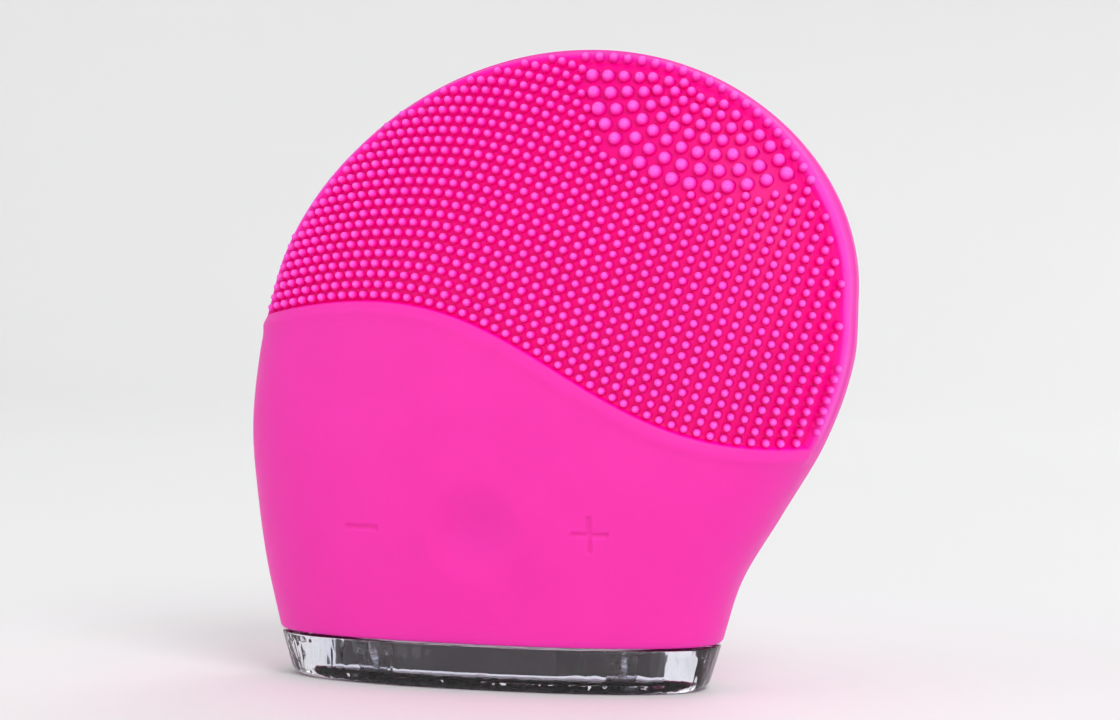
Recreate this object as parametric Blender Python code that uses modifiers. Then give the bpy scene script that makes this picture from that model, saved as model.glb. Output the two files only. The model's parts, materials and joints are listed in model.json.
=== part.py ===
"""Facial cleansing brush: a silicone-skinned handpiece on a clear base.

Blender 4.5.  The numbers below are millimetres; MM turns them into metres when a mesh is made.
X runs across the brush, -Y is the face with the fine touch-points, +Z is up.
The origin is the middle of the clear base's flat underside.
"""
import math

import bmesh
import bpy
from mathutils import Matrix, Vector

MM = 0.001
GAP = 0.3                      # kept between pieces that touch

# Outer form, as (height, value) stations joined by smooth curves
HEIGHT = 81.0
SECTION_POWER = 2.31           # superellipse power of every level section
HEAD_START = 50.0              # above this the head closes as a dome
HEAD_HALF_WIDTH = 38.4
HEAD_TAPER = 2.6
HEAD_CLOSING_POWER = 2.6       # how late the front and back of the head close
HALF_WIDTH = ((6, 29.2), (14, 31.4), (22, 34.4), (32, 37.8), (42, 39.1), (50, 38.4))
SPINE = ((6, -0.2), (14, 0.1), (22, 1.8), (32, 4.2), (42, 6.3), (55, 8.1), (68, 9.6), (81, 10.9))
FRONT_DEPTH = ((6, 14.0), (25, 16.8), (45, 16.1), (65, 12.0), (81, 9.0))
BACK_DEPTH = ((6, 14.0), (25, 17.0), (45, 15.0), (65, 11.0), (81, 8.5))

# Silicone sleeve
SLEEVE_FOOT = 6.0
SKIN = 2.0
LIP_HEIGHT = 1.4               # inward lip that the clear base clamps
LIP_HALF_LENGTH = 23.1
LIP_HALF_DEPTH = 10.1

# Touch-point field: the envelope of its tips, bounded below by an S-shaped edge
FIELD_PROUD = 0.5
FIELD_EDGE_Y = -4.0            # the field ends at the rim round the sleeve
FIELD_EDGE_MIDDLE = (12.5, 39.9)
FIELD_EDGE_RISE = 15.9
FIELD_EDGE_LENGTH = 23.0
FIELD_EDGE_SLOPE = 0.206       # the ends of the S rise slightly towards +X

# Keys under the skin
KEY_HEIGHT = 20.3
KEY_X = {"power": 1.0, "minus": -13.9, "plus": 15.9}
KEY_RADIUS = {"power": 4.0, "minus": 2.6, "plus": 2.6}
KEY_FLANGE = 0.9
KEY_FLANGE_THICK = 0.8
KEY_STEM_RADIUS = 1.2
DISH_RADIUS = 5.8
DISH_DEPTH = 1.0
SIGN_LENGTH = 4.6
SIGN_WIDTH = 0.6
SIGN_DEPTH = 0.4

# Hard core: front and rear housings
CORE_INSET = SKIN + GAP
WALL = 1.5
CAVITY_INSET = CORE_INSET + WALL
CORE_FOOT = SLEEVE_FOOT + LIP_HEIGHT + GAP
HOUSING_SCREW_AT = ((-22.0, 14.0), (22.0, 14.0), (-12.4, 60.0), (29.6, 60.0))
HOUSING_SCREW_Y = (-4.6, 4.8, 6.2)   # tip, under the head, top of the head
POST_RADIUS = 3.0
SCREW_SHANK = 0.75
SCREW_HOLE = 1.05
SCREW_RECESS = 2.2
SCREW_RECESS_Y = 4.5
BATTERY_RIB_Z = ((25.0, 26.2), (40.0, 41.2))
SADDLE_X = ((0.6, 1.8), (9.0, 10.2))
SADDLE_HALF_HEIGHT = 8.0

# Foot and clear base
PLUG_HALF_LENGTH = LIP_HALF_LENGTH - 0.6
PLUG_HALF_DEPTH = LIP_HALF_DEPTH - 0.6
PLUG_BOTTOM = 2.4
FOOT_FLANGE_TOP = 9.2
FOOT_POST_TOP = 12.4
FOOT_POST_RADIUS = 2.4
FOOT_SCREW_DEPTH = 11.6
POCKET_INNER = 6.4             # the foot's front is cut back round each clear boss, this far inwards
POCKET_OUTER = 4.0
POCKET_BACK = 3.0
BASE_TOP = SLEEVE_FOOT - GAP
BASE_FLOOR = 1.4
BASE_TAPER = 0.29              # how much each side draws in per millimetre going down
BASE_ROUND = 1.2
BOSS_X = 16.75
BOSS_RADIUS = 1.9
BOSS_TOP = 5.2
BOSS_RECESS = 1.5
BOSS_RECESS_TOP = 2.4
BASE_SCREW_Z = (11.0, 2.0, 0.7)      # tip, under the head, bottom of the head
BASE_SCREW_HEAD = 1.2

# Board, switches, lights
BOARD_X = (-17.5, 18.6)
BOARD_Z = (13.0, 43.0)
BOARD_FRONT = -6.6
BOARD_BACK = -5.4
BOARD_SCREW_AT = ((-13.5, 39.5), (14.5, 39.5))
BOARD_SCREW_TIP = -10.4
BOARD_POST_RADIUS = 2.2
CHIP_AT = ((-9.0, 33.0, 5.0, 5.0), (2.0, 34.0, 3.0, 4.0), (10.0, 30.0, 4.0, 3.0), (-4.0, 26.0, 3.0, 3.0))
CHIP_SUNK = 0.5
CHIP_HEIGHT = 1.0
SWITCH_SIDE = 4.5
SWITCH_FRONT = -8.2
PLUNGER_RADIUS = 1.1
PLUNGER_FRONT = -8.9
PLUNGER_BACK = -7.6
LIGHT_AT = ((-8.0, -6.0), (8.0, -6.0))
LIGHT_RADIUS = 1.5
LIGHT_HEIGHT = 2.6
LEAD_RADIUS = 0.45

# Battery
BATTERY_X = (-12.0, 18.0)
BATTERY_Y = (1.4, 7.4)
BATTERY_Z = (20.0, 48.0)
FOAM = 1.0

# Charging jack, in the lower back
JACK_Z = 14.5
JACK_RADIUS = 3.0
JACK_BORE = 1.75
JACK_OUTER_Y = 15.1
JACK_INNER_Y = 4.5
JACK_COLLAR_Y = (9.0, 10.2)
JACK_COLLAR_RADIUS = 4.1
JACK_BORE_END = 7.0
JACK_PIN_Y = (5.9, 14.2)
JACK_PIN_RADIUS = 0.5

# Vibration motor, across the head
MOTOR_Y = -0.4
MOTOR_Z = 60.0
MOTOR_X = (-3.0, 13.0)
CAN_RADIUS = 5.0
BOOT_THICK = 1.0
MAGNET_BORE = 3.3
ARMATURE_RADIUS = 3.0
SHAFT_RADIUS = 0.7
WEIGHT_X = (14.2, 19.2)
WEIGHT_RADIUS = 4.2

COLLECTION = "facial_cleansing_brush"


# ---------------------------------------------------------------- scene and materials

def clear_scene():
    for thing in list(bpy.data.objects):
        bpy.data.objects.remove(thing, do_unlink=True)


def new_collection(name):
    found = bpy.data.collections.get(name) or bpy.data.collections.new(name)
    if found.name not in bpy.context.scene.collection.children:
        bpy.context.scene.collection.children.link(found)
    return found


def material(name, colour, roughness=0.5, metallic=0.0, alpha=1.0):
    made = bpy.data.materials.get(name)
    if made:
        return made
    made = bpy.data.materials.new(name)
    made.use_nodes = True
    shader = made.node_tree.nodes["Principled BSDF"]
    shader.inputs["Base Color"].default_value = (*colour, 1.0)
    shader.inputs["Roughness"].default_value = roughness
    shader.inputs["Metallic"].default_value = metallic
    shader.inputs["Alpha"].default_value = alpha
    made.diffuse_color = (*colour, alpha)
    return made


def pink_silicone():
    return material("pink_silicone", (0.93, 0.05, 0.42), 0.45)


def clear_plastic():
    return material("clear_plastic", (0.86, 0.86, 0.96), 0.05, alpha=0.35)


def black_plastic():
    return material("black_plastic", (0.015, 0.015, 0.02), 0.4)


def white_plastic():
    return material("white_plastic", (0.82, 0.82, 0.80), 0.45)


def steel():
    return material("steel", (0.62, 0.62, 0.64), 0.3, 1.0)


def brass():
    return material("brass", (0.75, 0.56, 0.25), 0.35, 1.0)


def green_board():
    return material("green_board", (0.02, 0.20, 0.08), 0.4)


def silver_foil():
    return material("silver_foil", (0.70, 0.70, 0.72), 0.35, 0.8)


def black_rubber():
    return material("black_rubber", (0.03, 0.03, 0.03), 0.8)


def grey_foam():
    return material("grey_foam", (0.25, 0.25, 0.27), 0.95)


def red_wire():
    return material("red_wire", (0.60, 0.02, 0.02), 0.5)


# ---------------------------------------------------------------- solids

def place(name, mesh, finish, as_cutter=False):
    """Make an object from a mesh, in the part's collection or among the cutters."""
    thing = bpy.data.objects.new(name, mesh)
    group = new_collection("cutters" if as_cutter else COLLECTION)
    group.objects.link(thing)
    if as_cutter:
        thing.hide_render = True
        thing.display_type = "WIRE"
    else:
        mesh.materials.clear()
        mesh.materials.append(finish)
        mesh.shade_smooth()
        mesh.set_sharp_from_angle(angle=math.radians(35))
    return thing


def solid(name, bm, finish=None):
    """Turn a bmesh in millimetres into an object in metres; with no finish it is a cutter."""
    bmesh.ops.recalc_face_normals(bm, faces=bm.faces)
    bmesh.ops.scale(bm, vec=(MM, MM, MM), verts=bm.verts)
    mesh = bpy.data.meshes.new(name)
    bm.to_mesh(mesh)
    bm.free()
    return place(name, mesh, finish, as_cutter=finish is None)


def box(name, x, y, z, finish=None):
    """A box between the given pairs of limits."""
    bm = bmesh.new()
    bmesh.ops.create_cube(bm, size=1.0)
    bmesh.ops.scale(bm, vec=(x[1] - x[0], y[1] - y[0], z[1] - z[0]), verts=bm.verts)
    middle = Vector(((x[0] + x[1]) / 2, (y[0] + y[1]) / 2, (z[0] + z[1]) / 2))
    bmesh.ops.translate(bm, vec=middle, verts=bm.verts)
    return solid(name, bm, finish)


def turn_to(axis):
    """The rotation that carries Z onto the named axis."""
    return {
        "X": Matrix.Rotation(math.radians(90), 4, "Y"),
        "Y": Matrix.Rotation(math.radians(-90), 4, "X"),
        "Z": Matrix.Identity(4),
    }[axis]


def rod(name, axis, start, end, radius, at, finish=None, sides=24, end_radius=None):
    """A round bar along an axis from start to end; at holds its other two coordinates."""
    bm = bmesh.new()
    far = radius if end_radius is None else end_radius
    bmesh.ops.create_cone(bm, cap_ends=True, segments=sides, radius1=radius, radius2=far,
                          depth=end - start)
    bmesh.ops.transform(bm, matrix=turn_to(axis), verts=bm.verts)
    along = (start + end) / 2
    middle = {"X": (along, *at), "Y": (at[0], along, at[1]), "Z": (*at, along)}[axis]
    bmesh.ops.translate(bm, vec=Vector(middle), verts=bm.verts)
    return solid(name, bm, finish)


def ball(name, radius, at, finish=None):
    bm = bmesh.new()
    bmesh.ops.create_uvsphere(bm, u_segments=40, v_segments=24, radius=radius)
    bmesh.ops.translate(bm, vec=Vector(at), verts=bm.verts)
    return solid(name, bm, finish)


def boolean(target, tool, operation):
    step = target.modifiers.new(tool.name, "BOOLEAN")
    step.operation = operation
    step.solver = "EXACT"
    step.object = tool
    return target


def cut(target, *tools):
    for tool in tools:
        boolean(target, tool, "DIFFERENCE")
    return target


def join(target, *tools):
    for tool in tools:
        boolean(target, tool, "UNION")
    return target


def keep_inside(target, tool):
    return boolean(target, tool, "INTERSECT")


def wire(name, points, radius, finish):
    """A lead through a few points, rounded off as one smooth curve."""
    curve = bpy.data.curves.new(name, "CURVE")
    curve.dimensions = "3D"
    curve.bevel_depth = radius * MM
    curve.bevel_resolution = 1
    curve.use_fill_caps = True
    path = smooth_path([Vector(point) for point in points])
    spline = curve.splines.new("POLY")
    spline.points.add(len(path) - 1)
    for node, point in zip(spline.points, path):
        node.co = (*(point * MM), 1.0)
    thing = bpy.data.objects.new(name, curve)
    new_collection(COLLECTION).objects.link(thing)
    curve.materials.append(finish)
    return thing


def smooth_path(points, steps=3):
    """Points of the smooth curve that passes through the given ones."""
    path = []
    padded = [2 * points[0] - points[1], *points, 2 * points[-1] - points[-2]]
    for before, a, b, after in zip(padded, padded[1:], padded[2:], padded[3:]):
        for k in range(steps):
            t = k / steps
            path.append(0.5 * (2 * a + (b - before) * t
                               + (2 * before - 5 * a + 4 * b - after) * t ** 2
                               + (3 * a - before - 3 * b + after) * t ** 3))
    return [*path, points[-1]]


# ---------------------------------------------------------------- the outer form

def read(stations, height):
    """The value at a height on the smooth curve through (height, value) stations."""
    heights = [station[0] for station in stations]
    values = [station[1] for station in stations]
    height = min(max(height, heights[0]), heights[-1])
    last = len(stations) - 1
    i = next((k for k in range(last) if height <= heights[k + 1]), last - 1)

    def slope(k):
        low, high = max(k - 1, 0), min(k + 1, last)
        return (values[high] - values[low]) / (heights[high] - heights[low])

    span = heights[i + 1] - heights[i]
    t = (height - heights[i]) / span
    return ((2 * t ** 3 - 3 * t ** 2 + 1) * values[i] + (t ** 3 - 2 * t ** 2 + t) * slope(i) * span
            + (3 * t ** 2 - 2 * t ** 3) * values[i + 1] + (t ** 3 - t ** 2) * slope(i + 1) * span)


def section(height, inset=0.0):
    """Middle, half width, front depth and back depth of the form, drawn in by inset."""
    closing = max(0.0, (height - HEAD_START) / (HEIGHT - inset - HEAD_START))
    if closing == 0:
        half_width = read(HALF_WIDTH, height) - inset
    else:
        half_width = (HEAD_HALF_WIDTH - HEAD_TAPER * closing - inset) * math.sqrt(1 - closing ** 2)
    closed = math.sqrt(1 - closing ** HEAD_CLOSING_POWER)
    front = (read(FRONT_DEPTH, height) - inset) * closed
    back = (read(BACK_DEPTH, height) - inset) * closed
    return read(SPINE, height), half_width, front, back


def ring(middle, half_width, front, back, height, count):
    """A level superellipse, deeper or shallower at the front than at the back."""
    points = []
    for k in range(count):
        angle = 2 * math.pi * (k + 0.5) / count
        c, s = math.cos(angle), math.sin(angle)
        across = math.copysign(abs(c) ** (2 / SECTION_POWER), c) * half_width
        depth = math.copysign(abs(s) ** (2 / SECTION_POWER), s) * (back if s > 0 else front)
        points.append(Vector((middle + across, depth, height)))
    return points


def loft(name, rings, finish=None, crown=None):
    """A closed solid through level rings, with a flat foot and a crown point or a flat top."""
    bm = bmesh.new()
    rows = [[bm.verts.new(point) for point in points] for points in rings]
    count = len(rows[0])
    for lower, upper in zip(rows, rows[1:]):
        for k in range(count):
            bm.faces.new((lower[k], lower[(k + 1) % count], upper[(k + 1) % count], upper[k]))
    bm.faces.new(rows[0][::-1])
    if crown is None:
        bm.faces.new(rows[-1])
    else:
        top = bm.verts.new(crown)
        for k in range(count):
            bm.faces.new((rows[-1][k], rows[-1][(k + 1) % count], top))
    return solid(name, bm, finish)


def form(name, inset, foot, finish=None, count=36, low_steps=7, head_steps=7):
    """The brush's outer form drawn in by inset, from the height foot up to the crown."""
    crown_height = HEIGHT - inset
    low = [foot + (HEAD_START - foot) * k / low_steps for k in range(low_steps)]
    head = [HEAD_START + (crown_height - HEAD_START) * math.sin(math.pi / 2 * k / head_steps)
            for k in range(head_steps)]
    rings = [ring(*section(height, inset), height, count) for height in low + head]
    crown = Vector((read(SPINE, crown_height), 0.0, crown_height))
    return loft(name, rings, finish, crown)


def plug_form(name, half_length, half_depth, z, finish=None, count=36):
    """An upright superellipse block, used for the foot and for the openings it fills."""
    rings = [ring(0.0, half_length, half_depth, half_depth, height, count) for height in z]
    return loft(name, rings, finish)


def front_y(x, height, inset=0.0):
    """The front surface's Y at a point of the front view."""
    middle, half_width, front, _ = section(height, inset)
    across = min(abs(x - middle) / half_width, 1.0)
    return -front * (1 - across ** SECTION_POWER) ** (1 / SECTION_POWER)


def nearest_front(x, height, radius, inset):
    """The Y that a disc facing the front must stay behind, under a surface drawn in by inset."""
    rim = [(x + radius * math.cos(a), height + radius * math.sin(a))
           for a in (math.pi * k / 4 for k in range(8))]
    return max(front_y(*point, inset) for point in rim)


# ---------------------------------------------------------------- silicone sleeve

def field_edge(x):
    """Height of the S-shaped lower edge of the touch-point field."""
    middle_x, middle_z = FIELD_EDGE_MIDDLE
    along = x - middle_x
    return middle_z - FIELD_EDGE_RISE * math.erf(along / FIELD_EDGE_LENGTH) + FIELD_EDGE_SLOPE * along


def make_field():
    """Everything over the S-shaped edge on the front, out to the tips of the touch-points."""
    steps = [-45 + 5 * k for k in range(22)]
    outline = [(x, field_edge(x)) for x in steps] + [(steps[-1], 100.0), (steps[0], 100.0)]
    bm = bmesh.new()
    face = bm.faces.new([bm.verts.new((x, FIELD_EDGE_Y, z)) for x, z in outline])
    grown = bmesh.ops.extrude_face_region(bm, geom=[face])
    moved = [item for item in grown["geom"] if isinstance(item, bmesh.types.BMVert)]
    bmesh.ops.translate(bm, vec=Vector((0, -30, 0)), verts=moved)
    prism = solid("field_prism", bm)
    envelope = form("field_envelope", -FIELD_PROUD, SLEEVE_FOOT, count=72, low_steps=9, head_steps=9)
    return keep_inside(prism, envelope)


def make_sleeve():
    sleeve = form("silicone_sleeve", 0.0, SLEEVE_FOOT, pink_silicone(), 72, 9, 9)
    join(sleeve, make_field())
    cut(sleeve, form("sleeve_cavity", SKIN, SLEEVE_FOOT + LIP_HEIGHT))
    cut(sleeve, plug_form("lip_opening", LIP_HALF_LENGTH, LIP_HALF_DEPTH,
                          (SLEEVE_FOOT - 1, CORE_FOOT)))
    dish_x = KEY_X["power"]
    dish_ball = (DISH_RADIUS ** 2 + DISH_DEPTH ** 2) / (2 * DISH_DEPTH)
    dish_y = front_y(dish_x, KEY_HEIGHT) - dish_ball + DISH_DEPTH
    cut(sleeve, ball("power_dish", dish_ball, (dish_x, dish_y, KEY_HEIGHT)))
    cut(sleeve, *make_signs())
    cut(sleeve, rod("sleeve_jack_hole", "Y", 8, 20, JACK_RADIUS + GAP, (0, JACK_Z)))
    return sleeve


def make_signs():
    """The bars that sink the plus and minus signs into the skin."""
    bars = []
    for sign in ("minus", "plus"):
        x = KEY_X[sign]
        deep = front_y(x, KEY_HEIGHT) + SIGN_DEPTH
        half, thin = SIGN_LENGTH / 2, SIGN_WIDTH / 2
        y = (deep - 3, deep)
        level = (KEY_HEIGHT - thin, KEY_HEIGHT + thin)
        bars.append(box(f"{sign}_bar", (x - half, x + half), y, level))
        if sign == "plus":
            bars.append(box("plus_upright", (x - thin, x + thin), y,
                            (KEY_HEIGHT - half, KEY_HEIGHT + half)))
    return bars


# ---------------------------------------------------------------- hard core

def key_flange_front(sign):
    rim = KEY_RADIUS[sign] + KEY_FLANGE
    return nearest_front(KEY_X[sign], KEY_HEIGHT, rim, CAVITY_INSET) + GAP


def make_saddle(name, x, y):
    """A rib across the core with a round seat for the motor's boot."""
    rib = box(name, x, y, (MOTOR_Z - SADDLE_HALF_HEIGHT, MOTOR_Z + SADDLE_HALF_HEIGHT))
    seat_radius = CAN_RADIUS + BOOT_THICK + 2 * GAP
    seat = rod(f"{name}_seat", "X", x[0] - 1, x[1] + 1, seat_radius, (MOTOR_Y, MOTOR_Z), sides=32)
    return cut(rib, seat)


def make_front_housing():
    cavity = form("front_cavity", CAVITY_INSET, CORE_FOOT - 1)
    for k, at in enumerate(HOUSING_SCREW_AT):
        cut(cavity, rod(f"front_post_{k + 1}", "Y", -20, 0, POST_RADIUS, at, sides=20))
    for k, at in enumerate(BOARD_SCREW_AT):
        cut(cavity, rod(f"board_post_{k + 1}", "Y", -20, BOARD_FRONT - GAP, BOARD_POST_RADIUS, at,
                        sides=20))
    for k, x in enumerate(SADDLE_X):
        cut(cavity, make_saddle(f"front_saddle_{k + 1}", x, (-20, -1)))
    housing = form("front_housing", CORE_INSET, CORE_FOOT, white_plastic())
    cut(housing, cavity, box("behind_front", (-60, 60), (-GAP / 2, 60), (0, 100)))
    for k, at in enumerate(HOUSING_SCREW_AT):
        cut(housing, rod(f"front_screw_hole_{k + 1}", "Y", -5, 1, SCREW_HOLE, at, sides=16))
    for k, at in enumerate(BOARD_SCREW_AT):
        cut(housing, rod(f"board_screw_hole_{k + 1}", "Y", -11, -6, SCREW_HOLE, at, sides=16))
    for sign, x in KEY_X.items():
        cut(housing, rod(f"{sign}_window", "Y", -20, -8, KEY_RADIUS[sign] + GAP, (x, KEY_HEIGHT)))
    return housing


def make_rear_housing():
    cavity = form("rear_cavity", CAVITY_INSET, CORE_FOOT - 1)
    for k, at in enumerate(HOUSING_SCREW_AT):
        cut(cavity, rod(f"rear_post_{k + 1}", "Y", 0, 20, POST_RADIUS, at, sides=20))
    for k, z in enumerate(BATTERY_RIB_Z):
        cut(cavity, box(f"battery_rib_{k + 1}", BATTERY_X, (BATTERY_Y[1] + FOAM + 2 * GAP, 20), z))
    for k, x in enumerate(SADDLE_X):
        cut(cavity, make_saddle(f"rear_saddle_{k + 1}", x, (1, 20)))
    housing = form("rear_housing", CORE_INSET, CORE_FOOT, white_plastic())
    cut(housing, cavity, box("before_rear", (-60, 60), (-60, GAP / 2), (0, 100)))
    for k, at in enumerate(HOUSING_SCREW_AT):
        cut(housing, rod(f"rear_screw_hole_{k + 1}", "Y", -1, 8, SCREW_HOLE, at, sides=16))
        cut(housing, rod(f"rear_screw_recess_{k + 1}", "Y", SCREW_RECESS_Y, 20, SCREW_RECESS, at, sides=20))
    cut(housing, rod("housing_jack_hole", "Y", 6, 20, JACK_RADIUS + GAP, (0, JACK_Z)))
    return housing


def make_screw(name, axis, limits, head, at):
    """A pan-head screw with a cross in its head; limits are its tip, its neck and its head's end."""
    tip, neck, head_end = limits
    first, last = sorted((neck, head_end))
    screw = rod(name, axis, first, last, head, at, steel(), sides=20)
    inside = (neck + head_end) / 2
    low, high = sorted((tip, inside))
    join(screw, rod(f"{name}_shank", axis, low, high, SCREW_SHANK, at, sides=12))
    depth = sorted((inside, head_end + math.copysign(1, head_end - neck)))
    long_side, short_side = head * 0.65, head * 0.16
    for k, (a, b) in enumerate(((long_side, short_side), (short_side, long_side))):
        slot = {"Y": ((at[0] - a, at[0] + a), depth, (at[1] - b, at[1] + b)),
                "Z": ((at[0] - a, at[0] + a), (at[1] - b, at[1] + b), depth)}[axis]
        cut(screw, box(f"{name}_slot_{k + 1}", *slot))
    return screw


def make_housing_screws():
    for k, at in enumerate(HOUSING_SCREW_AT):
        make_screw(f"housing_screw_{k + 1}", "Y", HOUSING_SCREW_Y, SCREW_RECESS - GAP, at)


# ---------------------------------------------------------------- foot and clear base

def make_foot():
    """The black foot: a flange on the sleeve's lip, a plug down into the base, two screw posts."""
    flange = [ring(*section(height, CAVITY_INSET + GAP), height, 36)
              for height in (CORE_FOOT, FOOT_FLANGE_TOP)]
    foot = loft("foot_frame", flange, black_plastic())
    plug_z = (PLUG_BOTTOM, CORE_FOOT + 0.5)
    join(foot, plug_form("foot_plug", PLUG_HALF_LENGTH, PLUG_HALF_DEPTH, plug_z, count=72))
    pockets = {"left": (-BOSS_X - POCKET_OUTER, -BOSS_X + POCKET_INNER),
               "right": (BOSS_X - POCKET_INNER, BOSS_X + POCKET_OUTER)}
    for side, x in (("left", -BOSS_X), ("right", BOSS_X)):
        join(foot, rod(f"foot_post_{side}", "Z", 8, FOOT_POST_TOP, FOOT_POST_RADIUS, (x, 0), sides=20))
        cut(foot, box(f"pocket_{side}", pockets[side], (-20, POCKET_BACK), (0, BOSS_TOP + GAP)))
        cut(foot, rod(f"foot_screw_hole_{side}", "Z", 0, FOOT_SCREW_DEPTH, SCREW_HOLE, (x, 0), sides=16))
    for k, at in enumerate(LIGHT_AT):
        cut(foot, rod(f"light_window_{k + 1}", "Z", 0, 12, LIGHT_RADIUS + 0.4, at, sides=20))
    for k, at in enumerate(HOUSING_SCREW_AT[:2]):
        cut(foot, rod(f"post_clearance_{k + 1}", "Y", -20, 20, POST_RADIUS + 0.5, at, sides=24))
    return foot


def base_ring(height, count=48):
    """A level outline of the clear base, which carries the sleeve's sides down and rounds under."""
    middle, half_width, front, back = section(SLEEVE_FOOT)
    drawn = BASE_TAPER * (SLEEVE_FOOT - height)
    if height < BASE_ROUND:
        drawn += BASE_ROUND - math.sqrt(BASE_ROUND ** 2 - (BASE_ROUND - height) ** 2)
    return ring(middle, half_width - drawn, front - drawn, back - drawn, height, count)


def make_clear_base():
    under = [BASE_ROUND * (1 - math.cos(math.pi / 2 * k / 4)) for k in range(5)]
    base = loft("clear_base", [base_ring(height) for height in (*under, BASE_TOP)], clear_plastic())
    cavity = plug_form("base_cavity", LIP_HALF_LENGTH, LIP_HALF_DEPTH, (BASE_FLOOR, BASE_TOP + 1))
    for side, x in (("left", -BOSS_X), ("right", BOSS_X)):
        cut(cavity, rod(f"boss_{side}", "Z", 0, BOSS_TOP, BOSS_RADIUS, (x, 0), sides=32))
    cut(base, cavity)
    for side, x in (("left", -BOSS_X), ("right", BOSS_X)):
        cut(base, rod(f"boss_hole_{side}", "Z", -1, 7, SCREW_HOLE, (x, 0), sides=20))
        cut(base, rod(f"boss_recess_{side}", "Z", -1, BOSS_RECESS_TOP, BOSS_RECESS, (x, 0), sides=24))
    return base


def make_base_screws():
    for side, x in (("left", -BOSS_X), ("right", BOSS_X)):
        make_screw(f"base_screw_{side}", "Z", BASE_SCREW_Z, BASE_SCREW_HEAD, (x, 0))


# ---------------------------------------------------------------- keys, switches, board, lights

def make_keys():
    """Caps under the skin; each moves in along +Y and pushes its switch's plunger."""
    for sign, x in KEY_X.items():
        at = (x, KEY_HEIGHT)
        radius = KEY_RADIUS[sign]
        front = nearest_front(x, KEY_HEIGHT, radius, SKIN) + GAP
        collar = key_flange_front(sign)
        key = rod(f"{sign}_key", "Y", front, collar + 0.1, radius, at, black_plastic(), sides=32)
        join(key, rod(f"{sign}_key_flange", "Y", collar, collar + KEY_FLANGE_THICK, radius + KEY_FLANGE, at,
                      sides=32))
        join(key, rod(f"{sign}_key_stem", "Y", collar + 0.4, PLUNGER_FRONT - GAP, KEY_STEM_RADIUS, at,
                      sides=20))
        rod(f"{sign}_plunger", "Y", PLUNGER_FRONT, PLUNGER_BACK, PLUNGER_RADIUS, at, steel(), 20)


def make_switches():
    half = SWITCH_SIDE / 2
    for sign, x in KEY_X.items():
        switch = box(f"{sign}_switch", (x - half, x + half), (SWITCH_FRONT, BOARD_FRONT - GAP),
                     (KEY_HEIGHT - half, KEY_HEIGHT + half), black_plastic())
        cut(switch, rod(f"{sign}_switch_hole", "Y", -12, -5, PLUNGER_RADIUS + 0.2, (x, KEY_HEIGHT),
                        sides=20))


def make_board():
    board = box("circuit_board", BOARD_X, (BOARD_FRONT, BOARD_BACK), BOARD_Z, green_board())
    chip_y = (BOARD_BACK - CHIP_SUNK, BOARD_BACK + CHIP_HEIGHT)
    for k, (x, z, wide, high) in enumerate(CHIP_AT):
        join(board, box(f"chip_{k + 1}", (x, x + wide), chip_y, (z, z + high)))
    under_head = BOARD_BACK + GAP
    for k, at in enumerate(BOARD_SCREW_AT):
        cut(board, rod(f"board_hole_{k + 1}", "Y", -9, 0, SCREW_HOLE, at, sides=16))
        make_screw(f"board_screw_{k + 1}", "Y", (BOARD_SCREW_TIP, under_head, under_head + 1.2), 1.7, at)
    return board


def make_lights():
    """Two lights under the board's lower edge, which shine down through the foot into the base."""
    top = BOARD_Z[0] - GAP
    low = top - LIGHT_HEIGHT
    for side, at in zip(("left", "right"), LIGHT_AT):
        light = rod(f"base_light_{side}", "Z", low, top, LIGHT_RADIUS, at, clear_plastic(), sides=20)
        join(light, rod(f"light_rim_{side}", "Z", top - 0.7, top - 0.1, LIGHT_RADIUS + 0.3, at, sides=20))
        join(light, rod(f"light_tip_{side}", "Z", low - 1.0, low + 0.1, LIGHT_RADIUS / 2, at, sides=20,
                        end_radius=LIGHT_RADIUS - 0.02))


# ---------------------------------------------------------------- battery, jack, motor

def make_battery():
    battery = box("battery", BATTERY_X, BATTERY_Y, BATTERY_Z, silver_foil())
    edge = battery.modifiers.new("soft_edges", "BEVEL")
    edge.width = 1.2 * MM
    edge.segments = 3
    foam_y = (BATTERY_Y[1] + GAP, BATTERY_Y[1] + GAP + FOAM)
    foam_x = (BATTERY_X[0] + 2, BATTERY_X[1] - 2)
    box("battery_foam", foam_x, foam_y, (BATTERY_Z[0] + 2, BATTERY_Z[1] - 4), grey_foam())


def make_jack():
    at = (0, JACK_Z)
    jack = rod("charging_jack", "Y", JACK_INNER_Y, JACK_OUTER_Y, JACK_RADIUS, at, black_plastic(), 32)
    join(jack, rod("jack_collar", "Y", *JACK_COLLAR_Y, JACK_COLLAR_RADIUS, at, sides=32))
    cut(jack, rod("jack_bore", "Y", JACK_BORE_END, 20, JACK_BORE, at))
    pin_hole = JACK_PIN_RADIUS + GAP
    cut(jack, rod("jack_pin_hole", "Y", JACK_PIN_Y[0] - GAP, JACK_BORE_END + 1, pin_hole, at, sides=16))
    rod("jack_pin", "Y", *JACK_PIN_Y, JACK_PIN_RADIUS, at, brass(), sides=16)


def turned(name, profile, at, finish, sides=32):
    """A piece turned about the motor's axis; the profile is (along X, radius), outside first."""
    bm = bmesh.new()
    points = [bm.verts.new((radius, 0.0, -along)) for along, radius in profile]
    for a, b in zip(points, points[1:] + points[:1]):
        bm.edges.new((a, b))
    bmesh.ops.scale(bm, vec=(MM, MM, MM), verts=bm.verts)
    mesh = bpy.data.meshes.new(name)
    bm.to_mesh(mesh)
    bm.free()
    piece = place(name, mesh, finish)
    spin = piece.modifiers.new("turn", "SCREW")
    spin.axis = "Z"
    spin.steps = sides
    spin.render_steps = sides
    spin.use_merge_vertices = True
    spin.merge_threshold = 0.00001
    piece.rotation_euler = (0.0, math.radians(-90), 0.0)
    piece.location = Vector((0.0, *at)) * MM
    return piece


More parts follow.
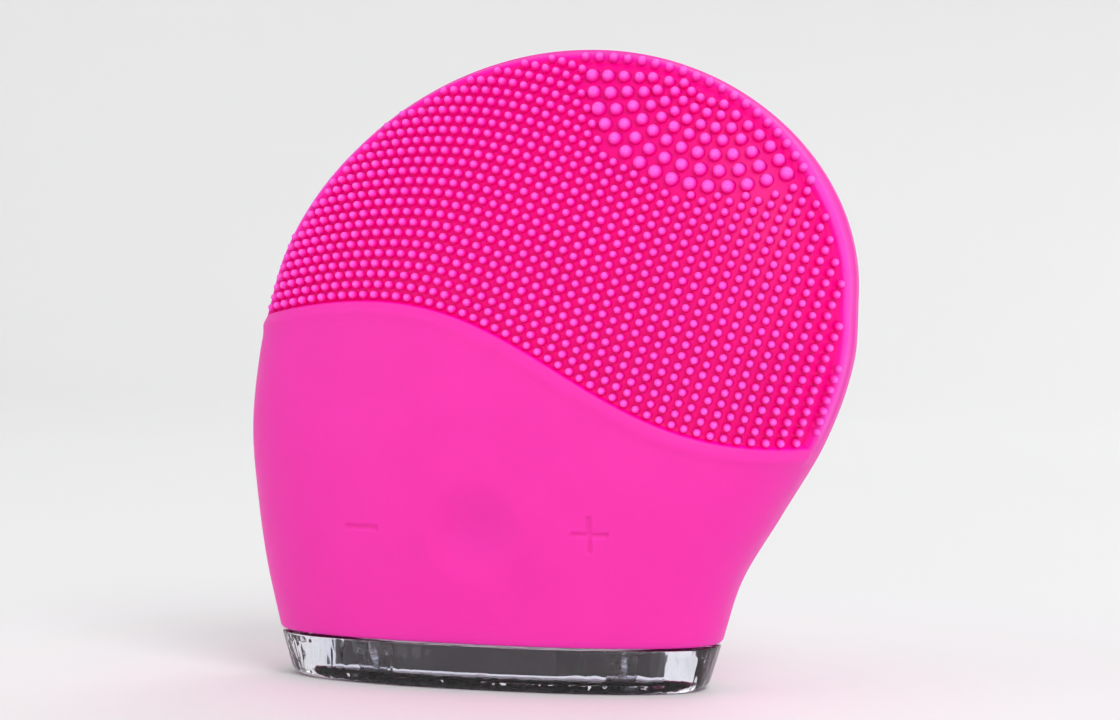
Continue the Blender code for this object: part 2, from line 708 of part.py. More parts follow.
def make_motor():
    axis = (MOTOR_Y, MOTOR_Z)
    back, front = MOTOR_X
    bore = SHAFT_RADIUS + GAP
    inner = CAN_RADIUS - 0.5
    can = [(back, CAN_RADIUS), (front, CAN_RADIUS), (front, bore), (front - 0.6, bore),
           (front - 0.6, inner), (back, inner)]
    turned("motor_can", can, axis, steel())

    def tube(name, start, end, outside, inside, finish, sides):
        profile = [(start, outside), (end, outside), (end, inside), (start, inside)]
        turned(name, profile, axis, finish, sides)

    tube("motor_magnet", back + 3.5, front - 2, inner - GAP, MAGNET_BORE, black_rubber(), 24)
    tube("motor_armature", back + 4, front - 2.5, ARMATURE_RADIUS, bore, brass(), 24)
    tube("motor_end_cap", back + GAP, back + 1.5, inner - GAP, bore, white_plastic(), 24)
    boot_inside = CAN_RADIUS + GAP
    tube("motor_boot", back + 3, front - 2, boot_inside + BOOT_THICK, boot_inside, black_rubber(), 32)
    at_axis = Vector((0.0, *axis)) * MM
    shaft = rod("motor_shaft", "X", back + 0.6, WEIGHT_X[1] + 0.5, SHAFT_RADIUS, axis, steel(), 16)
    weight = rod("eccentric_weight", "X", *WEIGHT_X, WEIGHT_RADIUS, axis, brass(), 32)
    high = (MOTOR_Z + 1.6, MOTOR_Z + 10)
    cut(weight, box("weight_flat", (WEIGHT_X[0] - 1, WEIGHT_X[1] + 1), (-10, 10), high))
    cut(weight, rod("weight_bore", "X", WEIGHT_X[0] - 1, WEIGHT_X[1] + 1, bore, axis, sides=16))
    for piece in (shaft, weight):
        put_origin(piece, at_axis)


def put_origin(piece, point):
    """Move an object's origin to a point without moving its mesh."""
    piece.data.transform(Matrix.Translation(-point))
    piece.location = point


def make_leads():
    """Pairs of leads from the battery, the motor and the jack to the board's back."""
    board_back = BOARD_BACK + GAP
    for colour, finish, side in (("red", red_wire(), -1), ("black", black_rubber(), 1)):
        x = 3.0 + 1.2 * side
        wire(f"battery_lead_{colour}", ((x, 4.4, 48.3), (x, 3.6, 50.2), (x, 0.4, 49.6), (x, -1.6, 45.0),
                                        (x, -3.0, 42.0), (x, board_back, 41.0)), LEAD_RADIUS, finish)
        x = -6.5 + 1.2 * side
        wire(f"motor_lead_{colour}", ((-3.0, MOTOR_Y + 2.5 * side, 60.0), (-5.5, MOTOR_Y + 2.2 * side, 58.5),
                                      (x, -1.0, 53.0), (x, -2.6, 46.0), (x, -3.6, 42.2),
                                      (x, board_back, 41.0)), LEAD_RADIUS, finish)
        x = 1.4 * side
        wire(f"jack_lead_{colour}", ((x, 4.2, JACK_Z), (x, 2.4, JACK_Z + 0.2), (x, -1.2, 15.6),
                                     (x, -3.4, 16.2), (x, board_back, 16.3)), LEAD_RADIUS, finish)


def build():
    clear_scene()
    make_sleeve()
    make_front_housing()
    make_rear_housing()
    make_housing_screws()
    make_foot()
    make_clear_base()
    make_base_screws()
    make_keys()
    make_switches()
    make_board()
    make_lights()
    make_battery()
    make_jack()
    make_motor()
    make_leads()


build()
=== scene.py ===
"""Facial cleansing brush: the finished surfaces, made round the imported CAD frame.

Lengths in this script are millimetres, in the frame's own axes; MM turns them into metres when a
mesh is made.  The outer form repeats the CAD's own stations, so every piece lies on the frame.
"""
import json
import math

import bmesh
import bpy
import numpy as np
from mathutils import Matrix, Vector


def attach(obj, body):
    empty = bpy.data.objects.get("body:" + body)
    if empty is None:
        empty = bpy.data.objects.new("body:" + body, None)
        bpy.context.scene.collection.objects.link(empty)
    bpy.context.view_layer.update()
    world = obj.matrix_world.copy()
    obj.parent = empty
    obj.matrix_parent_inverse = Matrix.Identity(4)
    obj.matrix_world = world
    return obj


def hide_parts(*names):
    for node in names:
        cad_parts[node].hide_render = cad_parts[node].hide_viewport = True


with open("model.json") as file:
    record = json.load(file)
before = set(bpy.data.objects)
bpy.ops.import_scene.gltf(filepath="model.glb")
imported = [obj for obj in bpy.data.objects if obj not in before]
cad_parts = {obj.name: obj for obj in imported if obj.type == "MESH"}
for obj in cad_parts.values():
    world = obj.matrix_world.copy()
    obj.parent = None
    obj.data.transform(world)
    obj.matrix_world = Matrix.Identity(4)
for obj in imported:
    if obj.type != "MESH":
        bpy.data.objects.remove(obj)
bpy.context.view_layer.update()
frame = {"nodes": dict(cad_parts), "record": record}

MM = 0.001
NODES = frame["nodes"]
BODY = "handpiece"

# Outer form, the same stations as the CAD's
HEIGHT = 81.0
SECTION_POWER = 2.31
HEAD_START = 50.0
HEAD_HALF_WIDTH = 38.4
HEAD_TAPER = 2.6
HEAD_CLOSING_POWER = 2.6
HALF_WIDTH = ((6, 29.2), (14, 31.4), (22, 34.4), (32, 37.8), (42, 39.1), (50, 38.4))
SPINE = ((6, -0.2), (14, 0.1), (22, 1.8), (32, 4.2), (42, 6.3), (55, 8.1), (68, 9.6), (81, 10.9))
FRONT_DEPTH = ((6, 14.0), (25, 16.8), (45, 16.1), (65, 12.0), (81, 9.0))
BACK_DEPTH = ((6, 14.0), (25, 17.0), (45, 15.0), (65, 11.0), (81, 8.5))

# Silicone skin
SLEEVE_FOOT = 6.0
SKIN = 2.0
LIP_TOP = 7.4
LIP_HALF_LENGTH = 23.1
LIP_HALF_DEPTH = 10.1
FOOT_ROUND = 0.35
JACK_Z = 14.5
JACK_HOLE_RADIUS = 3.3
JACK_HOLE_Y = (8, 20)

# The skin's mesh: columns per degree round it and rows per millimetre up it.  Closer bands are
# (from, to, how many more, fade); the columns' are over the rims and signs, the rows' over the
# keys and the S-shaped edge.
FRONT_COLUMNS = 1.15
BACK_COLUMNS = 0.62
COLUMN_BANDS = ((184, 220, 0.5, 2.0), (320, 356, 0.5, 2.0),
                (237.5, 254.5, 2.2, 2.0), (284, 300.5, 2.2, 2.0))
COLUMN_START = 0.002
ROWS = 1.5
ROW_BANDS = ((16.8, 24.0, 4.6, 1.0), (37.6, 43.0, 4.5, 1.2))
HEAD_ROWS = 96
LEVEL_UP_TO = 24.3
EDGE_STEPS = 60
EDGE_PULL = 0.4
INNER_LOW_ROWS = 8
INNER_HEAD_ROWS = 13

# Touch-point field
EDGE_MIDDLE = (12.5, 39.9)
EDGE_RISE = 15.9
EDGE_LENGTH = 23.0
EDGE_SLOPE = 0.206
RIM_SIDE_Y = -4.0
RIM_TOP_Y = -2.2
RIM_CHANGE = (62.0, 79.0)
FLOOR_DEPTH = 0.9
STEP_START = 0.2
STEP_WIDTH = 0.65
TIP_PROUD = 0.34

# Soft ridges along a line, as (height, how far outside the line, width).  The ring round the
# power dish is measured in dish radii, and the rim's last one is a painted highlight: a paler band
# that lightens the colour and not the skin.
EDGE_LIP = (0.30, 1.25, 0.85)
RIM_CREST = (0.16, 0.9, 0.7)
SIDE_BEAD = (0.14, 0.9, 0.42)
DISH_RING = (0.10, -1.0, 0.13)
RIM_PAINTED_HIGHLIGHT = (0.30, 1.5, 1.3)
LIP_FADE = 2.5
CREST_FADE = 2.0
PAINTED_HIGHLIGHT_FADE = 3.0
BEAD_START = 29.0
BEAD_RISE = 9.0
FRONT_START = -1.5
FRONT_FADE = 2.5

# Keys and signs in the skin
KEY_HEIGHT = 20.3
DISH_X = 1.0
DISH_REACH = 6.6
DISH_DEPTH = 1.0
MINUS_X = -13.9
PLUS_X = 15.9
SIGN_HALF = 2.3
SIGN_THIN = 0.3
SIGN_DEPTH = 0.28
SIGN_WALL = 0.24

# Soft waves on the back of the head
RIDGE_MIDDLE_Z = 53.0
RIDGE_REACH_X = 0.72
RIDGE_REACH_Z = 20.0
RIDGE_FADE = 0.22
RIDGE_BEND = 2.2
RIDGE_PITCH = 5.2
RIDGE_HEIGHT = 0.42
RIDGE_SINK = 0.2

# Fine touch-points: one row along the S-shaped edge, repeated by a fixed step
ROW_MIDDLE = (12.769, 40.738)
ROW_STEP = (0.43, 1.315)
ROW_COUNT = 44
POINT_SPACING = 1.575
ROW_PHASE_X = -14.0
ROW_PHASE = 0.8
ROW_POINTS = (-60, 90)
FIELD_LEFT = -40
FINE_RADIUS = 0.495

# Large touch-points: arcs about one centre, as (radius, first angle, last angle, angle step)
FAN_CENTRE = (30.0, 81.5)
FAN_REACH = 19.2
FAN_SIDE = 33.0
FAN_BACK = -120
FAN_ARCS = ((18.0, -85, 30, 7.4), (16.0, -84, 34, 8.4), (14.0, -82, 34, 8.8),
            (12.15, -80, 34, 10.0), (10.6, -77, 34, 10.2), (9.0, -70, 34, 11.0),
            (7.6, -61, 34, 11.4), (6.3, -41, 34, 15.0))
LARGE_RADIUS = 0.82
LARGE_SHRINK = 0.4
BORDER_CENTRE = (8.0, 52.0)
BORDER_TURNS = (21.0, 87.0)
BORDER_SPACING = 1.86
BORDER_CLEAR = 0.35
BORDER_RADIUS = 0.60
BORDER_ROOM = 1.45
BORDER_ROOM_FINE = 1.2

# One touch-point: its outline as (times its radius, depth below the tip), then how it stands
FINE_PROFILE = ((0.0, 0.0), (0.42, 0.05), (0.74, 0.19), (0.93, 0.44), (1.0, 0.80), (1.05, 1.12),
                (1.26, 1.46), (0.0, 1.50))
LARGE_PROFILE = ((0.0, 0.05), (0.16, 0.03), (0.30, 0.0), (0.58, 0.12), (0.82, 0.32), (0.96, 0.60),
                 (1.02, 0.90), (1.05, 1.12), (1.16, 1.38), (1.36, 1.58), (0.0, 1.60))
FINE_SIDES = 10
LARGE_SIDES = 20
FINE_SEED = 11
LARGE_SEED = 12
RIM_ROOM = 0.3
CROWN_ROOM = 0.3
AXIS_OUTWARD = 0.55
AXIS_FORWARD = 0.45
AXIS_SCATTER = 0.02
SIZE_SCATTER = 0.025

# Clear base
BASE_TOP = 5.7
BASE_FLOOR = 1.4
BASE_TAPER = 0.29
BASE_ROUND = 1.2
BOSS_X = 16.75
BOSS_RADIUS = 1.9
BOSS_TOP = 5.2
BASE_SIDES = 120
BASE_TOP_ROUND = 0.25
CAVITY_ROUND = 0.8
BOSS_PROFILE = ((0, 0), (2.25, 0), (2.25, BASE_FLOOR), (1.98, 1.75), (BOSS_RADIUS, 2.2),
                (BOSS_RADIUS, 2.7), (1.58, 3.05), (1.55, 4.2), (1.9, 4.4), (1.98, 4.5),
                (1.98, 5.05), (1.88, BOSS_TOP), (0, BOSS_TOP))
BOSS_HOLE_PROFILE = ((0, -1), (1.5, -1), (1.5, 2.4), (1.05, 2.4), (1.05, 7), (0, 7))

# Base screws: a tapping thread that runs out at both ends, and a head with a cross
SCREW_FOOT = 1.85
SCREW_TIP = 10.95
THREAD_TOP = 10.6
THREAD_START = 2.1
THREAD_RUN_IN = 0.6
THREAD_END = 10.9
THREAD_RUN_OUT = 1.2
TAPER_START = 9.4
TAPER_LENGTH = 1.4
THREAD_PITCH = 0.8
THREAD_RISE = 0.26
THREAD_WIDTH = 0.32
CORE_RADIUS = 0.72
TIP_TAPER = 0.45
SCREW_HEAD_PROFILE = ((0, 0.70), (0.7, 0.72), (1.0, 0.80), (1.15, 0.98), (1.2, 1.2),
                      (1.2, 1.9), (1.12, 2.0), (0, 2.0))
CROSS_HALF_LENGTH = 0.8
CROSS_HALF_WIDTH = 0.18
CROSS_DEPTH = 0.7
CROSS_Z = 0.65

# Stage, lights as (name, place, size, power), and camera
FLOOR_RADIUS = 1000.0
FLOOR_SWEEP = 700.0
FLOOR_SIDES = 128
MIDDLE = (0, 0, 42)
WORLD_STRENGTH = 0.62
LIGHTS = (("key", (800, -1000, 1050), 900, 11.2),
          ("fill", (-1000, -900, 400), 1000, 2.2),
          ("back", (200, 1100, 900), 900, 3.0))
CAMERA_AZIMUTH = 17.2
CAMERA_ELEVATION = 1.31
CAMERA_ROLL = 0.8
CAMERA_DISTANCE = 420.03
CAMERA_LENS = 104.83
CAMERA_SENSOR = 36.0
CAMERA_SHIFT = (0.0494, -0.0049)


# ---------------------------------------------------------------- the outer form

def ease(t):
    """A smooth step from 0 to 1."""
    t = np.clip(t, 0.0, 1.0)
    return t * t * (3.0 - 2.0 * t)


def read(stations, height):
    """Values at heights on the smooth curve through (height, value) stations."""
    heights, values = np.array(stations, float).T
    last = len(heights) - 1
    height = np.clip(height, heights[0], heights[-1])
    k = np.clip(np.searchsorted(heights, height) - 1, 0, last - 1)
    index = np.arange(last + 1)
    after, before = np.minimum(index + 1, last), np.maximum(index - 1, 0)
    slopes = (values[after] - values[before]) / (heights[after] - heights[before])
    span = heights[k + 1] - heights[k]
    t = (height - heights[k]) / span
    return ((2 * t ** 3 - 3 * t ** 2 + 1) * values[k] + (t ** 3 - 2 * t ** 2 + t) * slopes[k] * span
            + (3 * t ** 2 - 2 * t ** 3) * values[k + 1] + (t ** 3 - t ** 2) * slopes[k + 1] * span)


def section(height, inset=0.0):
    """Middle, half width, front depth and back depth of the form, drawn in by inset."""
    height = np.asarray(height, float)
    closing = np.clip((height - HEAD_START) / (HEIGHT - inset - HEAD_START), 0.0, 1.0)
    head = (HEAD_HALF_WIDTH - HEAD_TAPER * closing - inset) * np.sqrt(1 - closing ** 2)
    half_width = np.where(closing > 0, head, read(HALF_WIDTH, height) - inset)
    closed = np.sqrt(1 - closing ** HEAD_CLOSING_POWER)
    front = (read(FRONT_DEPTH, height) - inset) * closed
    back = (read(BACK_DEPTH, height) - inset) * closed
    return read(SPINE, height), half_width, front, back


def superellipse(middle, half_width, front, back, height, angle):
    """Points of a level section at the given angles."""
    c, s = np.cos(angle), np.sin(angle)
    power = 2 / SECTION_POWER
    across = np.sign(c) * np.abs(c) ** power * half_width
    depth = np.sign(s) * np.abs(s) ** power * np.where(s > 0, back, front)
    return np.stack(np.broadcast_arrays(middle + across, depth, height), -1)


def form(height, angle, inset=0.0):
    """Points of the outer form at heights and angles; angles from pi to two pi are the front."""
    return superellipse(*section(height, inset), height, angle)


def front_y(x, z):
    """The front surface's Y at points of the front view; off the form it is not a number."""
    middle, half_width, front, _ = section(z)
    across = np.abs(x - middle) / np.maximum(half_width, 1e-6)
    inside = np.where(across < 1, 1 - across ** SECTION_POWER, np.nan)
    return -front * inside ** (1 / SECTION_POWER)


def front_normal(x, z, step=0.05):
    """Outward unit normals of the front surface."""
    along_x = (front_y(x + step, z) - front_y(x - step, z)) / (2 * step)
    along_z = (front_y(x, z + step) - front_y(x, z - step)) / (2 * step)
    normal = np.stack((along_x, -np.ones_like(along_x), along_z), -1)
    return normal / np.linalg.norm(normal, axis=-1, keepdims=True)


def s_curve(x, middle):
    """Height and slope of the S-shaped line through the given middle."""
    along = np.asarray(x, float) - middle[0]
    shape = np.vectorize(math.erf)(along / EDGE_LENGTH)
    steep = 2 / math.sqrt(math.pi) / EDGE_LENGTH * np.exp(-(along / EDGE_LENGTH) ** 2)
    return middle[1] - EDGE_RISE * shape + EDGE_SLOPE * along, EDGE_SLOPE - EDGE_RISE * steep


def rim_distance(y, z, normal_y):
    """How far inside the field's rim a point lies, along the surface."""
    low, high = RIM_CHANGE
    rim_y = RIM_SIDE_Y + (RIM_TOP_Y - RIM_SIDE_Y) * ease((z - low) / (high - low))
    return (rim_y - y) / np.sqrt(np.maximum(1 - normal_y ** 2, 0.003))


# ---------------------------------------------------------------- meshes

def add_mesh(name, points, faces, lift=None):
    """An object in the scene from points in millimetres."""
    mesh = bpy.data.meshes.new(name)
    mesh.from_pydata((np.asarray(points, float) * MM).tolist(), [], faces)
    if lift is not None:
        values = np.asarray(lift, np.float32)
        mesh.attributes.new("lift", "FLOAT", "POINT").data.foreach_set("value", values)
    mesh.validate()
    mesh.shade_smooth()
    thing = bpy.data.objects.new(name, mesh)
    bpy.context.scene.collection.objects.link(thing)
    return thing


def tube_faces(rows, columns):
    """Quads between successive rows of points, round the columns."""
    return [(r * columns + k, r * columns + (k + 1) % columns,
             (r + 1) * columns + (k + 1) % columns, (r + 1) * columns + k)
            for r in range(rows - 1) for k in range(columns)]


def capped_loft(name, rings, start, end, lift=None):
    """A closed skin through rings of equal count, ending in a point at each end."""
    rows, columns = rings.shape[:2]
    points = np.concatenate((rings.reshape(-1, 3), [start, end]))
    faces = tube_faces(rows, columns)
    first, last = rows * columns, rows * columns + 1
    top = (rows - 1) * columns
    faces += [((k + 1) % columns, k, first) for k in range(columns)]
    faces += [(top + k, top + (k + 1) % columns, last) for k in range(columns)]
    return add_mesh(name, points, faces, lift)


def outward(thing):
    """Turn every face of a closed piece outwards."""
    bm = bmesh.new()
    bm.from_mesh(thing.data)
    bmesh.ops.recalc_face_normals(bm, faces=bm.faces)
    bm.to_mesh(thing.data)
    bm.free()
    return thing


def apply_boolean(target, tools, operation="DIFFERENCE"):
    """Cut the tools from the target, or join them to it, and remove them."""
    for tool in tools:
        step = target.modifiers.new(tool.name, "BOOLEAN")
        step.operation = operation
        step.solver = "EXACT"
        step.object = tool
    bpy.context.view_layer.update()
    result = target.evaluated_get(bpy.context.evaluated_depsgraph_get())
    made = bpy.data.meshes.new_from_object(result)
    target.modifiers.clear()
    target.data = made
    for tool in tools:
        bpy.data.objects.remove(tool, do_unlink=True)


def lathe(name, profile, centre, axis="Z", sides=64):
    """A turned closed piece about Y or Z; the profile is (radius, along), from axis to axis."""
    profile = np.asarray(profile, float)
    angle = 2 * np.pi * np.arange(sides) / sides
    radius, along = profile[1:-1, :1], profile[1:-1, 1:]
    a, b = radius * np.cos(angle), radius * np.sin(angle)
    level = along + 0 * a
    rings, unit = {"Y": ((a, level, b), (0, 1, 0)), "Z": ((a, b, level), (0, 0, 1))}[axis]
    ends = [np.array(centre) + np.array(unit) * profile[k, 1] for k in (0, -1)]
    return outward(capped_loft(name, np.stack(rings, -1) + np.array(centre), *ends))


def shade(thing, sharp_degrees):
    """Smooth shading, broken where the surface turns by more than the given angle."""
    thing.data.shade_smooth()
    thing.data.set_sharp_from_angle(angle=math.radians(sharp_degrees))


def spaced(low, high, density, fine=4000):
    """Places between two limits, closer together where the density is higher."""
    t = np.linspace(low, high, fine)
    amount = np.concatenate(([0.0], np.cumsum((density(t[1:]) + density(t[:-1])) / 2 * np.diff(t))))
    count = max(int(round(amount[-1])), 2)
    return np.interp(np.arange(count) / count * amount[-1], amount, t)


# ---------------------------------------------------------------- silicone skin

def closer(place, bands):
    """What bands of (from, to, extra, fade) add at each place."""
    return sum(extra * ease((place - start) / fade) * ease((end - place) / fade)
               for start, end, extra, fade in bands)


def column_angles():
    """Columns round the skin: closest over the two signs, then the rims, then the front."""
    def density(angle):
        turn = np.degrees(angle)
        amount = np.where(turn > 180, FRONT_COLUMNS, BACK_COLUMNS)
        return np.degrees(1.0) * (amount + closer(turn, COLUMN_BANDS))
    return spaced(0.0, 2 * np.pi, density) + COLUMN_START


def row_levels():
    """Rows up the skin, as if the S-shaped edge were level at its middle height."""
    def density(level):
        return ROWS + closer(level, ROW_BANDS)
    low = spaced(SLEEVE_FOOT + FOOT_ROUND, HEAD_START, density)
    turn = np.linspace(0, np.pi / 2, HEAD_ROWS)[:-1]
    return np.concatenate((low, HEAD_START + (HEIGHT - HEAD_START) * np.sin(turn)))


def warped_heights(levels, angles):
    """Heights of the rows at each column, with the middle row laid along the S-shaped edge."""
    level_mid = EDGE_MIDDLE[1]
    front = np.where(angles > np.pi, angles, np.where(angles > np.pi / 2, np.pi, 2 * np.pi))
    edge = np.full(len(angles), level_mid)
    for _ in range(EDGE_STEPS):
        target, _ = s_curve(form(edge, front)[:, 0], EDGE_MIDDLE)
        edge = (1 - EDGE_PULL) * edge + EDGE_PULL * target
    back_fade = np.where(angles > np.pi, 1.0, ease(np.abs(angles - np.pi / 2) / (np.pi / 2)))
    shift = (edge - level_mid) * back_fade
    below = ease((levels - LEVEL_UP_TO) / (level_mid - LEVEL_UP_TO))
    above = 1 - ease((levels - level_mid) / (HEIGHT - 1 - level_mid))
    weight = np.where(levels < level_mid, below, above)
    return levels[:, None] + weight[:, None] * shift[None, :]


def box_distance(x, z, half_x, half_z):
    """Distance outside a rectangle about the origin, negative inside it."""
    dx, dz = np.abs(x) - half_x, np.abs(z) - half_z
    return np.hypot(np.maximum(dx, 0), np.maximum(dz, 0)) + np.minimum(np.maximum(dx, dz), 0)


def swell(distance, shape):
    """A soft ridge along a line, at a distance outside it."""
    height, place, width = shape
    return height * np.exp(-((distance + place) / width) ** 2)


def relief(points, normals):
    """How far the skin stands out of the plain form, and how far up its colours it lies, with a
    painted highlight along the rim.
    """
    x, y, z = np.moveaxis(points, -1, 0)
    edge, slope = s_curve(x, EDGE_MIDDLE)
    from_edge = (z - edge) / np.sqrt(1 + slope ** 2)
    from_rim = rim_distance(y, z, normals[..., 1])
    inside = np.minimum(from_edge, from_rim)
    floor = ease((inside + STEP_START) / STEP_WIDTH)
    front = ease((FRONT_START - y) / FRONT_FADE)

    lip = swell(from_edge, EDGE_LIP) * ease((from_rim + LIP_FADE) / LIP_FADE)
    crest = swell(from_rim, RIM_CREST) * ease((from_edge + CREST_FADE / 2) / CREST_FADE)
    bead = swell(y, SIDE_BEAD) * ease((z - BEAD_START) / BEAD_RISE)
    stand = (lip + crest) * front * (1 - floor) + bead

    reach = np.hypot(x - DISH_X, z - KEY_HEIGHT) / DISH_REACH
    dish = DISH_DEPTH * np.clip(1 - reach ** 2, 0, 1) ** 2
    ring = swell(reach, DISH_RING)
    minus = box_distance(x - MINUS_X, z - KEY_HEIGHT, SIGN_HALF, SIGN_THIN)
    plus = box_distance(x - PLUS_X, z - KEY_HEIGHT, SIGN_HALF, SIGN_THIN)
    plus = np.minimum(plus, box_distance(x - PLUS_X, z - KEY_HEIGHT, SIGN_THIN, SIGN_HALF))
    sign = SIGN_DEPTH * (1 - ease((np.minimum(minus, plus) + SIGN_WALL / 2) / SIGN_WALL))
    keys = (ring - dish - sign) * (y < 0)

    # Painted highlight: a paler band just inside the rim, made in the colour only, where light
    # catches the rim.
    painted_highlight = swell(from_rim, RIM_PAINTED_HIGHLIGHT) * ease(from_edge / PAINTED_HIGHLIGHT_FADE) * front
    height = stand + keys - FLOOR_DEPTH * floor + back_ridges(x, y, z)
    return height, 0.5 - 0.5 * floor + painted_highlight * (1 - floor)


def back_ridges(x, y, z):
    """Soft level waves across the back of the head, fading out towards its edge."""
    middle, half_width, _, _ = section(z)
    across = (x - middle) / np.maximum(half_width, 1.0)
    reach = np.hypot(across / RIDGE_REACH_X, (z - RIDGE_MIDDLE_Z) / RIDGE_REACH_Z)
    fade = ease((1.0 - reach) / RIDGE_FADE) * (y > 0)
    bend = z + RIDGE_BEND * across ** 2
    wave = np.sin(2 * np.pi * (bend - RIDGE_MIDDLE_Z) / RIDGE_PITCH) ** 2
    return RIDGE_HEIGHT * fade * (wave - RIDGE_SINK)


def make_skin():
    """The sleeve: its outer skin with all relief, the turned-in lip and the plain inside."""
    angles, levels = column_angles(), row_levels()
    heights = warped_heights(levels, angles)
    plain = form(heights, angles[None, :])
    round_columns = np.roll(plain, -1, 1) - np.roll(plain, 1, 1)
    up_rows = np.gradient(plain, axis=0)
    normals = np.cross(round_columns, up_rows)
    normals /= np.maximum(np.linalg.norm(normals, axis=-1, keepdims=True), 1e-12)
    stand, lift = relief(plain, normals)
    outer = plain + normals * stand[..., None]

    middle, half_width, front, back = section(SLEEVE_FOOT)
    foot = []
    for turn in np.linspace(0, np.pi / 2, 5)[:-1]:
        drawn = FOOT_ROUND * (1 - np.sin(turn))
        foot.append(superellipse(middle, half_width - drawn, front - drawn, back - drawn,
                                 SLEEVE_FOOT + FOOT_ROUND * (1 - np.cos(turn)), angles))
    lip = [superellipse(0.0, LIP_HALF_LENGTH, LIP_HALF_DEPTH, LIP_HALF_DEPTH, z, angles)
           for z in (LIP_TOP, SLEEVE_FOOT)]
    low = LIP_TOP + (HEAD_START - LIP_TOP) * np.arange(INNER_LOW_ROWS) / INNER_LOW_ROWS
    turns = np.linspace(0, np.pi / 2, INNER_HEAD_ROWS)[:-1]
    head = HEAD_START + (HEIGHT - SKIN - HEAD_START) * np.sin(turns)
    inner = form(np.concatenate((low, head))[::-1, None], angles[None, :], SKIN)
    rings = np.concatenate((inner, lip, foot, outer))
    lifts = np.full(rings.shape[:2], 0.5)
    lifts[-len(outer):] = lift
    crown_x = float(read(SPINE, HEIGHT))
    ends = ((crown_x, 0, HEIGHT - SKIN), (crown_x, 0, HEIGHT))
    skin = capped_loft("silicone_skin", rings, *ends, np.append(lifts.ravel(), (0.5, 0.5)))
    outward(skin)
    near, far = JACK_HOLE_Y
    hole = ((0, near), (JACK_HOLE_RADIUS, near), (JACK_HOLE_RADIUS, far), (0, far))
    jack_hole = lathe("jack_hole", hole, (0, 0, JACK_Z), "Y", 96)
    apply_boolean(skin, [jack_hole])
    shade(skin, 50)
    return skin


# ---------------------------------------------------------------- touch-points

def fine_places():
    """Front-view places of the fine touch-points."""
    x = np.arange(-70.0, 70.0, 0.01)
    z, _ = s_curve(x, ROW_MIDDLE)
    length = np.concatenate(([0.0], np.cumsum(np.hypot(np.diff(x), np.diff(z)))))
    start = np.interp(ROW_PHASE_X, x, length) + ROW_PHASE
    stops = start + POINT_SPACING * np.arange(*ROW_POINTS)
    row = np.stack((np.interp(stops, length, x), np.interp(stops, length, z)), -1)
    places = np.concatenate([row + np.array(ROW_STEP) * k for k in range(ROW_COUNT)])
    away = places - np.array(FAN_CENTRE)
    angle = np.degrees(np.arctan2(away[:, 0], -away[:, 1]))
    in_fan = (np.hypot(*away.T) < FAN_REACH) & (angle < FAN_SIDE) & (angle > FAN_BACK)
    return places[~in_fan & (places[:, 0] > FIELD_LEFT)]


def fan_places():
    """Front-view places and radii of the large touch-points."""
    centre_x, centre_z = FAN_CENTRE
    places, sizes = [], []
    for radius, first, last, step in FAN_ARCS:
        for angle in np.radians(np.arange(first, last + 0.1, step)):
            across, down = radius * math.sin(angle), radius * math.cos(angle)
            places.append((centre_x + across, centre_z - down))
            sizes.append(LARGE_RADIUS * (radius / FAN_ARCS[0][0]) ** LARGE_SHRINK)
    return np.array(places), np.array(sizes)


def border_places():
    """Front-view places of the row that follows the rim round the fan."""
    turn = np.radians(np.arange(*BORDER_TURNS, 0.25))[:, None]
    reach = np.arange(20.0, 40.0, 0.02)[None, :]
    x, z = BORDER_CENTRE[0] + reach * np.cos(turn), BORDER_CENTRE[1] + reach * np.sin(turn)
    with np.errstate(invalid="ignore"):
        room = rim_distance(front_y(x, z), z, front_normal(x, z)[..., 1])
    last = np.argmax(~(room > BORDER_CLEAR), axis=1)
    line = np.stack((x[range(len(last)), last], z[range(len(last)), last]), -1)
    length = np.concatenate(([0.0], np.cumsum(np.hypot(*np.diff(line, axis=0).T))))
    stops = np.arange(0.0, length[-1], BORDER_SPACING)
    return np.stack([np.interp(stops, length, line[:, k]) for k in (0, 1)], -1)


def clear_of(places, others, room):
    """Whether each place is at least room away from all the others."""
    return np.hypot(*(places[:, None] - others[None]).transpose(2, 0, 1)).min(1) > room


